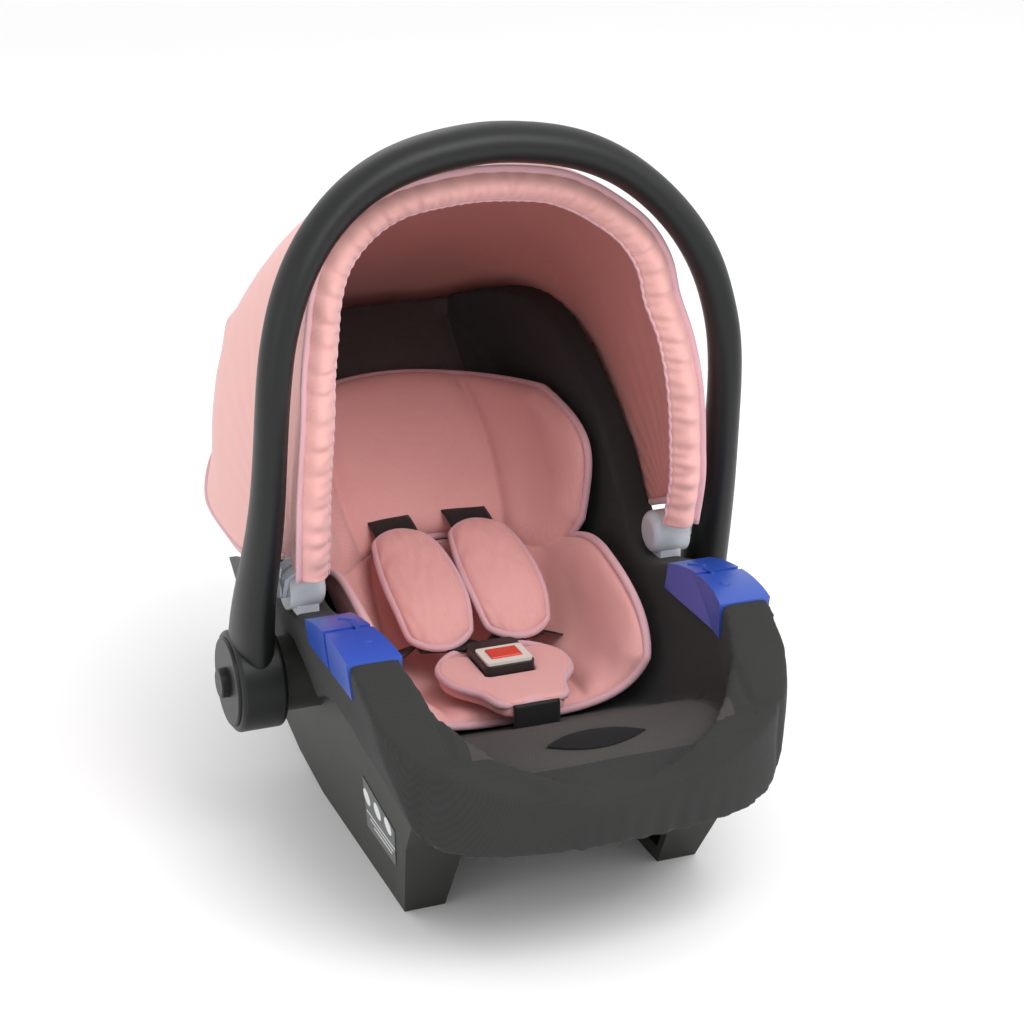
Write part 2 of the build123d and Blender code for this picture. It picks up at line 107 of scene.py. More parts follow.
world = bpy.data.worlds.new("studio")
world.use_nodes = True
world.node_tree.nodes["Background"].inputs["Color"].default_value = (1, 1, 1, 1)
world.node_tree.nodes["Background"].inputs["Strength"].default_value = 1.02
bpy.context.scene.world = world
bpy.context.scene.view_settings.view_transform = "Standard"

FLOOR_HALF = 40
floor_mesh = bmesh.new()
bmesh.ops.create_grid(floor_mesh, x_segments=1, y_segments=1, size=FLOOR_HALF)
floor = bpy.data.objects.new("floor", bpy.data.meshes.new("floor"))
floor_mesh.to_mesh(floor.data)
floor_mesh.free()
bpy.context.scene.collection.objects.link(floor)

# %% [markdown]
# A finish is a small tree of shader nodes. Two classes keep such trees readable: `Value` wraps an output
# socket, so that sums and products of values are written as ordinary expressions, and `Finish` is one
# material, whose `node` method adds any node.


# %% Shader helpers
class Value:
    """A number that comes out of a shader node, with ordinary arithmetic."""

    def __init__(self, finish, socket):
        self.finish, self.socket = finish, socket

    def maths(self, operation, first, second):
        return self.finish.node("ShaderNodeMath", {"operation": operation}, {0: first, 1: second})

    def __add__(self, other):
        return self.maths("ADD", self, other)

    def __sub__(self, other):
        return self.maths("SUBTRACT", self, other)

    def __rsub__(self, other):
        return self.maths("SUBTRACT", other, self)

    def __mul__(self, other):
        return self.maths("MULTIPLY", self, other)

    __radd__, __rmul__ = __add__, __mul__


class Finish:
    """One material, made of nodes around a Principled shader."""

    def __init__(self, name, **constants):
        self.material = bpy.data.materials.new(name)
        self.material.use_nodes = True
        self.tree = self.material.node_tree
        self.shader = self.tree.nodes["Principled BSDF"]
        for socket, number in constants.items():
            self.shader.inputs[socket.replace("_", " ")].default_value = number
        self.place = self.node("ShaderNodeTexCoord", output="Object")

    def node(self, kind, settings=None, inputs=None, output=0):
        made = self.tree.nodes.new(kind)
        for setting, choice in (settings or {}).items():
            setattr(made, setting, choice)
        for socket, given in (inputs or {}).items():
            self.feed(made.inputs[socket], given)
        return Value(self, made.outputs[output])

    def feed(self, socket, given):
        if isinstance(given, Value):
            self.tree.links.new(given.socket, socket)
        else:
            socket.default_value = given

    def noise(self, scale, detail=2.0, vector=None):
        """Smooth noise with a given number of lumps per metre."""
        return self.node("ShaderNodeTexNoise", None,
                         {"Vector": vector or self.place, "Scale": scale, "Detail": detail})

    def wave(self, scale, direction, vector=None):
        """Sine bands across one axis."""
        return self.node("ShaderNodeTexWave", {"bands_direction": direction, "wave_profile": "SIN"},
                         {"Vector": vector or self.place, "Scale": scale}, output="Fac")

    def mix(self, factor, first, second):
        return self.node("ShaderNodeMix", {"data_type": "RGBA"}, {0: factor, 6: first, 7: second}, output=2)

    def bump(self, height, strength, distance):
        return self.node("ShaderNodeBump", None,
                         {"Height": height, "Strength": strength, "Distance": distance})

    def use(self, **links):
        for socket, given in links.items():
            self.feed(self.shader.inputs[socket.replace("_", " ")], given)
        return self.material


def rgb(red, green, blue):
    """A shader colour from the usual 0 to 255 screen values."""
    def linear(level):
        level = level / 255
        return level / 12.92 if level < 0.04045 else ((level + 0.055) / 1.055) ** 2.4
    return (linear(red), linear(green), linear(blue), 1.0)


# %% [markdown]
# Cloth is never one flat colour. Threads lie in two directions, so a woven finish crosses two sets of fine
# bands, and slow noise shifts the shade a little, as dye and handling do. A little sheen brightens the cloth
# where it turns away. The bands follow object coordinates, so they need no unwrapping.


# %% Fabric finishes
WAVE_SCALE = 0.314  # a wave texture of this scale has one band per unit


def woven(name, light, dark, threads=900.0, relief=0.35, sheen=0.25, roughness=0.85):
    """A fine weave between two shades."""
    finish = Finish(name, Sheen_Weight=sheen, Sheen_Roughness=0.5, Specular_IOR_Level=0.15)
    turned = finish.node("ShaderNodeMapping", None, {"Vector": finish.place, "Rotation": (0.7, 0.5, 0.8)})
    per_metre = threads * WAVE_SCALE
    weave = finish.wave(per_metre, "X", turned) * finish.wave(per_metre, "Y", turned)
    fuzz = finish.noise(2600.0, 1.0)
    slow = finish.noise(14.0, 3.0)
    shade = weave * 0.35 + fuzz * 0.3 + slow * 0.45
    return finish.use(Base_Color=finish.mix(shade, dark, light),
                      Roughness=roughness - 0.1 * slow,
                      Normal=finish.bump(weave * 0.6 + fuzz * 0.6, relief, 0.0006))


canopy_cloth = woven("canopy_cloth", rgb(233, 180, 175), rgb(218, 160, 155), 1100, 0.25, 0.3)
# The canopy's inner face gets a darker copy of the outer cloth: painted shade under the canopy.
canopy_inside_shaded = woven("canopy_inside_shaded", rgb(216, 150, 144), rgb(192, 124, 118), 1100, 0.25, 0.2)
pad_cloth = woven("pad_cloth", rgb(233, 176, 172), rgb(216, 154, 151), 800, 0.4, 0.3)
binding_cloth = woven("binding_cloth", rgb(226, 182, 188), rgb(206, 158, 166), 1500, 0.5, 0.3)
cover_cloth = woven("cover_cloth", rgb(58, 58, 57), rgb(41, 41, 41), 700, 0.5, 0.05)
panel_cloth = woven("panel_cloth", rgb(76, 73, 71), rgb(58, 55, 54), 700, 0.5, 0.05)
patch_cloth = woven("patch_cloth", rgb(26, 26, 29), rgb(14, 14, 16), 1800, 0.3, 0.05)


def webbing_finish():
    """Tight polyester webbing: narrow ribs across the band and a soft shine."""
    finish = Finish("webbing", Specular_IOR_Level=0.4, Sheen_Weight=0.1)
    along = finish.node("ShaderNodeTexCoord", output="UV")
    ribs = finish.wave(620.0 * WAVE_SCALE, "Y", along)
    lines = finish.wave(130.0 * WAVE_SCALE, "X", along)
    speck = finish.noise(1500.0, 1.0)
    return finish.use(Base_Color=finish.mix(ribs * 0.5 + speck * 0.4, rgb(11, 11, 12), rgb(30, 30, 32)),
                      Roughness=0.55 + 0.2 * speck, Normal=finish.bump(ribs * 0.7 + lines * 0.3, 0.6, 0.0006))


webbing = webbing_finish()

# %% [markdown]
# Moulded plastic takes the fine grain of its mould. The grain is a bump of small cells, its gloss varies
# slightly, and the broad noise stands for the faint flow marks and handling of a real moulding.


# %% Plastic, metal and foam finishes
def moulded(name, colour, other, roughness=0.5, grain=1600.0, relief=0.25, coat=0.0, specular=0.5):
    """Moulded plastic with a fine grain."""
    finish = Finish(name, Coat_Weight=coat, Coat_Roughness=0.25, Specular_IOR_Level=specular)
    cells = finish.noise(grain, 2.0)
    slow = finish.noise(9.0, 4.0)
    return finish.use(Base_Color=finish.mix(slow * 0.7 + cells * 0.3, colour, other),
                      Roughness=roughness + 0.12 * slow - 0.06,
                      Normal=finish.bump(cells, relief, 0.0004))


handle_plastic = moulded("handle_plastic", rgb(17, 18, 18), rgb(24, 25, 25), 0.40, 1500, 0.35, specular=0.35)
shell_plastic = moulded("shell_plastic", rgb(36, 37, 34), rgb(45, 46, 42), 0.5, 1400, 0.35, specular=0.3)
guide_plastic = moulded("guide_plastic", rgb(30, 68, 160), rgb(44, 82, 178), 0.3, 900, 0.08, 0.25)
hinge_plastic = moulded("hinge_plastic", rgb(176, 180, 188), rgb(196, 200, 208), 0.32, 700, 0.06, 0.2)
buckle_plastic = moulded("buckle_plastic", rgb(22, 22, 24), rgb(32, 32, 34), 0.4, 1200, 0.2)
bezel_plastic = moulded("bezel_plastic", rgb(226, 222, 214), rgb(212, 208, 200), 0.35, 800, 0.05)
button_plastic = moulded("button_plastic", rgb(206, 58, 38), rgb(222, 74, 50), 0.3, 800, 0.05, 0.3)
lock_plastic = moulded("lock_plastic", rgb(205, 205, 200), rgb(222, 222, 217), 0.4, 900, 0.1)
label_film = moulded("label_film", rgb(46, 47, 46), rgb(56, 57, 56), 0.3, 300, 0.03, 0.3)
label_ink = moulded("label_ink", rgb(214, 216, 216), rgb(226, 228, 228), 0.35, 300, 0.03)
steel = Finish("steel", Metallic=1.0)
steel_streaks = steel.noise(500.0, 2.0)
steel.use(Base_Color=steel.mix(steel_streaks, rgb(150, 150, 152), rgb(190, 190, 192)),
          Roughness=0.28 + 0.15 * steel_streaks, Normal=steel.bump(steel_streaks, 0.1, 0.0003))
foam = Finish("foam")
foam_beads = foam.node("ShaderNodeTexVoronoi", None, {"Vector": foam.place, "Scale": 300.0},
                       output="Distance")
foam.use(Base_Color=foam.mix(foam_beads, rgb(238, 238, 236), rgb(212, 212, 210)),
         Roughness=0.7 + 0.1 * foam_beads, Normal=foam.bump(foam_beads, 0.5, 0.001))
studio_floor = Finish("studio_floor")
floor_tone = studio_floor.noise(1.5, 2.0)
studio_floor.use(Base_Color=studio_floor.mix(floor_tone, rgb(244, 244, 244), rgb(248, 248, 248)),
                 Roughness=0.85)
floor.data.materials.append(studio_floor.material)

SLOT_FINISH = {
    "shell_plastic": shell_plastic, "handle_plastic": handle_plastic, "guide_plastic": guide_plastic,
    "hinge_plastic": hinge_plastic, "lock_plastic": lock_plastic, "buckle_plastic": buckle_plastic,
    "bezel_plastic": bezel_plastic, "button_plastic": button_plastic, "side_label": label_film,
    "steel": steel.material, "bow_steel": steel.material, "foam": foam.material, "webbing": webbing,
    "cover_fabric": cover_cloth, "pad_fabric": pad_cloth, "canopy_fabric": canopy_cloth, "patch": patch_cloth}
for part in frame["record"]["subparts"]:
    mesh = nodes[part["node"]].data
    mesh.materials.clear()
    mesh.materials.append(SLOT_FINISH[part["material_slot"]])
print(len(nodes), "CAD nodes given a finish")

# %% [markdown]
# Soft parts are built from flat grids that are bent into place. `grid` bends one sheet, `pillow` sews two
# sheets together along their edge, `tube` runs a round cord along a line, and `softened` rounds off a CAD
# solid as padding does. Each keeps its faces pointing outwards.


# %% Builders for soft parts
FUSE = 0.00001  # points closer than this are one point


def finished(name, form, *finishes):
    """A smooth-shaded object made from a bmesh."""
    bmesh.ops.recalc_face_normals(form, faces=form.faces[:])
    mesh = bpy.data.meshes.new(name)
    form.to_mesh(mesh)
    form.free()
    mesh.shade_smooth()
    for finish in finishes:
        mesh.materials.append(finish)
    made = bpy.data.objects.new(name, mesh)
    bpy.context.scene.collection.objects.link(made)
    return made


def grid(columns, rows, place):
    """A sheet whose point (u, v), each from 0 to 1, lies at place(u, v)."""
    form = bmesh.new()
    bmesh.ops.create_grid(form, x_segments=columns, y_segments=rows, size=0.5, calc_uvs=True)
    for corner in form.verts:
        corner.co = place(corner.co.x + 0.5, corner.co.y + 0.5)
    return form


def facing(place, u, v, step=0.004):
    """The direction a bent sheet faces at (u, v)."""
    u, v = min(max(u, step), 1 - step), min(max(v, step), 1 - step)
    across = place(u + step, v) - place(u - step, v)
    along = place(u, v + step) - place(u, v - step)
    return across.cross(along).normalized()


def pillow(name, columns, rows, place, front, back, *finishes):
    """Two sheets sewn along their edge. front and back give the height over and under the middle sheet."""
    def lifted(height, sign):
        def corner(u, v):
            return place(u, v) + sign * height(u, v) * facing(place, u, v)
        return corner
    form = grid(columns, rows, lifted(front, 1))
    under = grid(columns, rows, lifted(back, -1))
    spare = bpy.data.meshes.new("under_sheet")
    under.to_mesh(spare)
    under.free()
    form.from_mesh(spare)
    bpy.data.meshes.remove(spare)
    bmesh.ops.remove_doubles(form, verts=form.verts[:], dist=2 * FUSE)
    return finished(name, form, *finishes)


def tube(name, path, radius, finish, closed=False, sides=10, flatten=1.0):
    """A round cord along a list of points. Its ring of directions is carried along without twisting."""
    count = len(path)
    def ahead(index):
        if closed:
            return (path[(index + 1) % count] - path[index - 1]).normalized()
        return (path[min(index + 1, count - 1)] - path[max(index - 1, 0)]).normalized()
    side = ahead(0).orthogonal().normalized()
    rings = []
    for index in range(count):
        way = ahead(index)
        side = (side - side.dot(way) * way).normalized()
        rings.append((path[index], side, way.cross(side)))
    rows = count if closed else count - 1
    def place(u, v):
        middle, first, second = rings[round(v * rows) % count]
        return middle + radius * (cos(2 * pi * u) * first + flatten * sin(2 * pi * u) * second)
    form = grid(sides, rows, place)
    bmesh.ops.remove_doubles(form, verts=form.verts[:], dist=FUSE)
    bmesh.ops.holes_fill(form, edges=[edge for edge in form.edges if edge.is_boundary], sides=sides + 1)
    return finished(name, form, finish)


def settle(made):
    """Turns an object's modifiers into its mesh."""
    scene_now = bpy.context.evaluated_depsgraph_get()
    mesh = bpy.data.meshes.new_from_object(made.evaluated_get(scene_now))
    made.modifiers.clear()
    made.data = mesh
    mesh.shade_smooth()


def thickened(made, thickness, offset):
    """Gives a sheet its thickness. An offset of -1 adds it behind, 0 to both sides."""
    wall = made.modifiers.new("thickness", "SOLIDIFY")
    wall.thickness, wall.offset = thickness, offset
    if len(made.data.materials) > 1:
        wall.material_offset, wall.material_offset_rim = 1, 0
    settle(made)


def fitted(slot, body, *pieces):
    """The pieces ride on a body. slot is not used."""
    for piece in pieces:
        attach(piece, body)


def softened(name, node, voxel, rounds, *finishes, fatten=0.0):
    """A copy of a CAD solid, remeshed evenly and rounded off. fatten first moves every face outwards."""
    made = bpy.data.objects.new(name, nodes[node].data.copy())
    bpy.context.scene.collection.objects.link(made)
    made.matrix_world = nodes[node].matrix_world
    made.data.transform(made.matrix_world)
    made.matrix_world = Matrix.Identity(4)
    if fatten:
        form = bmesh.new()
        form.from_mesh(made.data)
        bmesh.ops.remove_doubles(form, verts=form.verts[:], dist=FUSE)
        form.to_mesh(made.data)
        form.free()
        swell = made.modifiers.new("swell", "DISPLACE")
        swell.strength, swell.mid_level = fatten, 0
    remesh = made.modifiers.new("even", "REMESH")
    remesh.mode, remesh.voxel_size = "VOXEL", voxel
    ease = made.modifiers.new("ease", "SMOOTH")
    ease.factor, ease.iterations = 0.5, rounds
    settle(made)
    made.data.materials.clear()
    for finish in finishes:
        made.data.materials.append(finish)
    return made


def along_line(points):
    """A function from 0 to 1 that runs smoothly through points, at an even pace."""
    bits = 14
    line = [Vector(point) for point in points]
    dense = [line[0]]
    for index in range(len(line) - 1):
        before, after = line[max(index - 1, 0)], line[min(index + 2, len(line) - 1)]
        bend_out = line[index] + (line[index + 1] - before) / 6
        bend_in = line[index + 1] - (after - line[index]) / 6
        dense += interpolate_bezier(line[index], bend_out, bend_in, line[index + 1], bits)[1:]
    reached = [0.0]
    for first, second in zip(dense, dense[1:]):
        reached.append(reached[-1] + (second - first).length)
    def at(fraction):
        wanted = min(max(fraction, 0), 1) * reached[-1]
        index = 0
        while index < len(dense) - 2 and reached[index + 1] < wanted:
            index += 1
        share = (wanted - reached[index]) / (reached[index + 1] - reached[index])
        return dense[index].lerp(dense[index + 1], share)
    return at


def rounded(u, v, roundness):
    """Takes the unit square to a patch with rounded corners, -1 to 1 each way."""
    across, along = 2 * u - 1, 2 * v - 1
    return (across * sqrt(1 - roundness * along * along / 2),
            along * sqrt(1 - roundness * across * across / 2))


def dome(distance, radius):
    """The height, 0 to 1, of a stuffed edge at a distance from its seam."""
    short = 1 - min(max(distance / radius, 0), 1)
    return sqrt(1 - short * short)


def rim(place, steps):
    """The points all round the edge of a bent sheet."""
    ring = [place(step / steps, 0) for step in range(steps)]
    ring += [place(1, step / steps) for step in range(steps)]
    ring += [place(1 - step / steps, 1) for step in range(steps)]
    return ring + [place(0, 1 - step / steps) for step in range(steps)]


def ruffle(place, amount, lumps):
    """Slow, smooth noise at a point: cloth is never perfectly even."""
    return amount * noise.noise(place * lumps)


# %% [markdown]
# The head and body pads are shaped like a trough: flat in the middle, with wings that stand up at both sides.
# Seams divide each pad into a centre panel and two wings. A lilac binding runs round each edge.

# %% Head and body pads
WING_TURN = radians(88)  # how far a pad has turned up at the tip of its wing
WING_CURL = 1.6
SEAM_SHARE = 0.43  # where the seams lie between the middle, 0, and the wing tip, 1
LEANING_BACK = sqrt(0.5)  # the backrest lies at 45 degrees
HEAD_MIDDLE = Vector((0, 0.150, 0.226))
HEAD_ACROSS, HEAD_WING, HEAD_ROUNDNESS = 0.122, 0.115, 0.62
BODY_ACROSS, BODY_WING, BODY_ROUNDNESS = 0.112, 0.115, 0.75
PAD_BACK, PAD_RUFFLE, RUFFLE_LUMPS = 0.003, 0.0012, 34
EDGE_ROUND, SEAM_ROUND = 0.026, 0.022
BINDING, SEAM_CORD = 0.0034, 0.0020
RIM_STEPS = 60
body_line = along_line([(0, -0.128, 0.112), (0, -0.09, 0.1), (0, -0.034, 0.092), (0, 0.01, 0.104),
                        (0, 0.06, 0.146), (0, 0.092, 0.176)])


def wing_rise(across):
    """How far up a wing is, 0 in the middle of a pad and nearly 1 at the tip."""
    return (1 - cos(across * WING_TURN)) ** WING_CURL


def head_place(u, v):
    """The head pad lies on the backrest. Its wings droop, and its lower edge bulges beside the straps."""
    across, along = rounded(u, v, HEAD_ROUNDNESS)
    lift = 0.005 + HEAD_WING * wing_rise(across)
    climb = 0.013 - 0.058 * across ** 2 + along * 0.079 * (1 - 0.30 * across ** 4)
    climb -= 0.034 * max(0, -along) * exp(-((abs(across) - 0.6) / 0.26) ** 2)
    return HEAD_MIDDLE + Vector((HEAD_ACROSS * sin(across * WING_TURN), (climb - lift) * LEANING_BACK,
                                 (climb + lift) * LEANING_BACK))


def body_place(u, v):
    """The body pad follows the seat. Its wings lean forwards and are lower towards the back."""
    across, along = rounded(u, v, BODY_ROUNDNESS)
    wing = 1 - 0.4 * (along + 0.1) ** 2 - 0.45 * max(0, along) ** 1.5
    lift = BODY_WING * wing * wing_rise(across)
    forward = 0.25 + 0.45 * max(0, -along)
    return body_line((along + 1) / 2) + Vector((BODY_ACROSS * sin(across * WING_TURN), -forward * lift,
                                                0.002 + 0.96 * lift))


def pad_height(thick, width, length):
    """The padding over a pad: it falls to nothing at the edge and is drawn down at the two seams."""
    def height(u, v):
        across, along = 2 * u - 1, 2 * v - 1
        edge = min((1 - abs(across)) * width, (1 - abs(along)) * length)
        seam = abs(abs(across) - SEAM_SHARE) * width
        level = thick * dome(edge, EDGE_ROUND) * (0.3 + 0.7 * dome(seam, SEAM_ROUND))
        if edge > 0.004:
            level += ruffle(Vector((across * width, along * length, thick)), PAD_RUFFLE, RUFFLE_LUMPS)
        return level
    return height


def pad_back(u, v):
    """The back of a pad is nearly flat."""
    return PAD_BACK * min(1, 30 * min(u, 1 - u), 30 * min(v, 1 - v))


for name, place, height in (("head_pad", head_place, pad_height(0.015, 0.16, 0.08)),
                            ("body_pad", body_place, pad_height(0.014, 0.15, 0.12))):
    pad = pillow(name + "_soft", 96, 60, place, height, pad_back, pad_cloth)
    fitted("pad_fabric", "seat", pad,
           tube(name + "_binding", rim(place, RIM_STEPS), BINDING, binding_cloth, closed=True))
    for side in (-1, 1):
        share = 0.5 + side * SEAM_SHARE / 2
        seam = []
        for step in range(1, RIM_STEPS):
            v = step / RIM_STEPS
            seam.append(place(share, v) + height(share, v) * facing(place, share, v))
        fitted("pad_fabric", "seat", tube(f"{name}_seam_{side + 1}", seam, SEAM_CORD, binding_cloth))
    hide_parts(name)

# %% [markdown]
# The harness is 38 mm webbing. It comes out under the head pad, runs through two shoulder pads and ends in
# the tongues. The crotch strap holds the buckle.

# %% Harness
SHOULDER_LINE = [(0.1712, 0.1228), (0.110, 0.184), (0.102, 0.204), (0.040, 0.188), (-0.008, 0.168),
                 (-0.030, 0.1485), (-0.038, 0.1446)]
CROTCH_LINE = [(-0.158, 0.0629), (-0.158, 0.133), (-0.150, 0.139), (-0.104, 0.139)]
STRAP_THICK, STRAP_HALF, STRAP_X = 0.0018, 0.019, 0.034


def ribbon(name, node, line, middle_x):
    """Flat webbing along a line of (y, z) points. Its UV map is in metres."""
    run = along_line([(0, y, z) for y, z in line])
    length = sum((run((step + 1) / 50) - run(step / 50)).length for step in range(50))
    def place(u, v):
        return run(v) + Vector((middle_x + STRAP_HALF * (2 * u - 1), 0, 0))
    form = grid(12, 90, place)
    layer = form.loops.layers.uv.verify()
    for face in form.faces:
        for loop in face.loops:
            loop[layer].uv = (loop[layer].uv.x * 2 * STRAP_HALF, loop[layer].uv.y * length)
    band = finished(name, form, webbing)
    thickened(band, STRAP_THICK, 0)
    fitted("webbing", "seat", band)
    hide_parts(node)


# %% Shoulder pads and lap straps
SHOULDER_HALF, SHOULDER_TAPER, SHOULDER_THICK, SHOULDER_ROUND = 0.031, 0.002, 0.009, 0.020
pad_run = along_line([(0, 0.078, 0.200), (0, 0.040, 0.190), (0, -0.008, 0.170), (0, -0.030, 0.151),
                      (0, -0.043, 0.1445)])


def shoulder_height(u, v):
    """The padding of a shoulder pad, the same on both faces."""
    edge = min(min(u, 1 - u) * 0.06, min(v, 1 - v) * 0.12)
    level = SHOULDER_THICK * dome(edge, SHOULDER_ROUND)
    return level + (ruffle(Vector((u, v, 0)), PAD_RUFFLE, 9) if edge > 0.002 else 0)


def shoulder_place_at(middle_x):
    """The middle sheet of the shoulder pad round the strap at middle_x."""
    def place(u, v):
        across, along = rounded(u, v, BODY_ROUNDNESS)
        half = SHOULDER_HALF - SHOULDER_TAPER * along
        return pad_run((1 - along) / 2) + Vector((middle_x + across * half, 0, 0))
    return place


for side, suffix in ((-1, "left"), (1, "right")):
    ribbon("shoulder_webbing_" + suffix, "shoulder_strap_" + suffix, SHOULDER_LINE, side * STRAP_X)
    place = shoulder_place_at(side * STRAP_X)
    shoulder_pad = pillow("shoulder_soft_" + suffix, 40, 60, place, shoulder_height, shoulder_height,
                          pad_cloth)
    fitted("pad_fabric", "seat", shoulder_pad,
           tube("shoulder_binding_" + suffix, rim(place, 30), 0.0032, binding_cloth, closed=True))
    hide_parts("shoulder_pad_" + suffix)
    lap = softened("lap_webbing_" + suffix, "lap_strap_" + suffix, 0.0008, 2, webbing)
    fitted("webbing", "seat", lap)
    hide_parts("lap_strap_" + suffix)
ribbon("crotch_webbing", "crotch_strap", CROTCH_LINE, 0)

# %% [markdown]
# The crotch pad lies under the buckle. It is a rounded copy of its CAD solid, because a pocket and a slot are
# cut in it, and its binding follows the solid's outline.

# %% Crotch pad
CROTCH_EDGE = [(0, -0.151), (0.026, -0.150), (0.034, -0.128), (0.050, -0.104), (0.052, -0.076),
               (0.038, -0.054), (0.020, -0.044), (0, -0.044)]
CROTCH_EDGE_Z, CROTCH_STEPS = 0.1395, 90
crotch_pad = softened("crotch_soft", "crotch_pad", 0.0022, 7, pad_cloth)
crotch_rim = along_line([(x, y, CROTCH_EDGE_Z) for x, y in CROTCH_EDGE]
                        + [(-x, y, CROTCH_EDGE_Z) for x, y in reversed(CROTCH_EDGE[:-1])])
fitted("pad_fabric", "seat", crotch_pad,
       tube("crotch_binding", [crotch_rim(step / CROTCH_STEPS) for step in range(CROTCH_STEPS)], 0.0032,
            binding_cloth, closed=True))
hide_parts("crotch_pad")

# %% [markdown]
# The cover is a quilted cloth pulled over the bucket. Seams mark off a lighter centre panel at the head and
# the front, the cloth is gathered where it turns under the front lip, and it has a few slow wrinkles.

# %% Seat cover
HEAD_PANEL_HALF, HEAD_PANEL_START = 0.078, 0.10
LIP_SEAM, LIP_BOW, LIP_SEAM_HALF, LIP_PANEL_HALF, LIP_PANEL_END = -0.296, 0.35, 0.118, 0.104, -0.13
SEAM_DEPTH, SEAM_WIDTH = 0.0024, 0.0035
HEM_FRONT, HEM_TOP, GATHER = -0.27, 0.14, 0.0007
PATCH_LIFT = 0.0018  # the padding of the cover raises the patch sewn on it
cover = softened("cover_soft", "seat_cover", 0.0031, 4, cover_cloth, panel_cloth, fatten=0.0012)


def lip_seam_y(x):
    """The seam along the front lip is a shallow bow."""
    return LIP_SEAM + LIP_BOW * x ** 2


def seam_distance(place):
    """How far a point of the cover is from the nearest seam."""
    found = 1.0
    if place.y > HEAD_PANEL_START:
        found = abs(abs(place.x) - HEAD_PANEL_HALF)
    if place.y < -0.2:
        found = min(found, abs(place.y - lip_seam_y(place.x)))
        if place.y > LIP_SEAM:
            found = min(found, abs(abs(place.x) - LIP_SEAM_HALF))
    return found


for corner, normal in [(vertex, vertex.normal.copy()) for vertex in cover.data.vertices]:
    place = corner.co
    push = 0.0004 - SEAM_DEPTH * exp(-(seam_distance(place) / SEAM_WIDTH) ** 2)
    push += 0.0009 * noise.noise(Vector((place.x * 18, place.y * 18, place.z * 40)))
    if place.y < HEM_FRONT and place.z < HEM_TOP:
        gather = sin(place.x * 380 + 5 * noise.noise(place * 14)) * exp(-((place.x - 0.02) / 0.08) ** 2)
        push += GATHER * gather * min(1, (HEM_TOP - place.z) / 0.03)
    corner.co = place + push * normal
for face in cover.data.polygons:
    middle = face.center
    in_head = middle.y > HEAD_PANEL_START and abs(middle.x) < HEAD_PANEL_HALF
    in_lip = (face.normal.z > 0.5 and abs(middle.x) < LIP_PANEL_HALF
              and lip_seam_y(middle.x) < middle.y < LIP_PANEL_END)
    face.material_index = 1 if in_head or in_lip else 0
fitted("cover_fabric", "seat", cover)
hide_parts("seat_cover")

patch = softened("patch_soft", "label_patch", 0.0007, 3, patch_cloth)
patch.data.transform(Matrix.Translation((0, 0, PATCH_LIFT)))
fitted("patch", "seat", patch)
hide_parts("label_patch")

# %% [markdown]
# The canopy is one sheet between two edges: the front edge, which stands up as a hoop, and the hem, which
# runs from hinge to hinge round the back of the bucket. Each point of the sheet is found by looking out
# from between the hinges to the CAD canopy. At the back the sheet is then kept clear of the bucket.

# %% Canopy sheet
HOOP_SIDE = [(0.166, -0.0825, 0.240), (0.167, -0.0905, 0.280), (0.166, -0.0915, 0.310),
             (0.164, -0.0925, 0.340), (0.161, -0.0905, 0.370), (0.157, -0.0825, 0.400),
             (0.150, -0.0715, 0.430), (0.144, -0.0665, 0.460), (0.131, -0.0555, 0.485),
             (0.108, -0.0425, 0.505), (0.082, -0.0365, 0.520), (0.052, -0.0355, 0.529)]
HOOP_TOP = (0, -0.0350, 0.534)
BACK_HEM = [(0.164, -0.045, 0.246), (0.165, -0.020, 0.236), (0.165, 0.060, 0.204), (0.160, 0.150, 0.190),
            (0.157, 0.230, 0.196), (0.132, 0.290, 0.216), (0.096, 0.316, 0.226), (0.050, 0.3275, 0.234)]
HEM_BACK = (0, 0.3285, 0.236)
WIDEST, CLEAR_OF_SEAT, BACK_STARTS = 0.1665, 0.004, 0.08
CLOTH_THICK = 0.0012


def both_sides(side_points, middle):
    """A line from the left hinge over the middle to the right hinge."""
    return along_line([(-x, y, z) for x, y, z in side_points] + [middle] + side_points[::-1])


hoop, hem = both_sides(HOOP_SIDE, HOOP_TOP), both_sides(BACK_HEM, HEM_BACK)


def surface_of(made):
    """A search tree over an object's faces, in its own frame."""
    return BVHTree.FromPolygons([vertex.co for vertex in made.data.vertices],
                                [face.vertices for face in made.data.polygons])


def reach_of(node):
    """A function that gives how far a CAD node reaches out from between the hinges in a direction."""
    to_node = nodes[node].matrix_world.inverted()
    tree = surface_of(nodes[node])
    def reach(way):
        found = tree.ray_cast(to_node @ (HINGE + way * 0.9), (to_node.to_3x3() @ -way).normalized())[0]
        return (to_node.inverted() @ found - HINGE).length if found else 0.0
    return reach


canopy_reach = reach_of("canopy_fabric")
seat_reaches = [reach_of("seat_cover"), reach_of("seat_shell")]


def canopy_place(u, v):
    """u runs across from hinge to hinge, v from the front hoop to the hem."""
    front, back = hoop(u) - HINGE, hem(u) - HINGE
    way = front.normalized().slerp(back.normalized(), v)
    reach = front.length + (back.length - front.length) * v
    seen = canopy_reach(way) or reach
    blend_in = min(1, v / 0.05, (1 - v) / 0.05)
    return HINGE + way * (reach + (max(seen, 0.3 * reach) - reach) * blend_in)


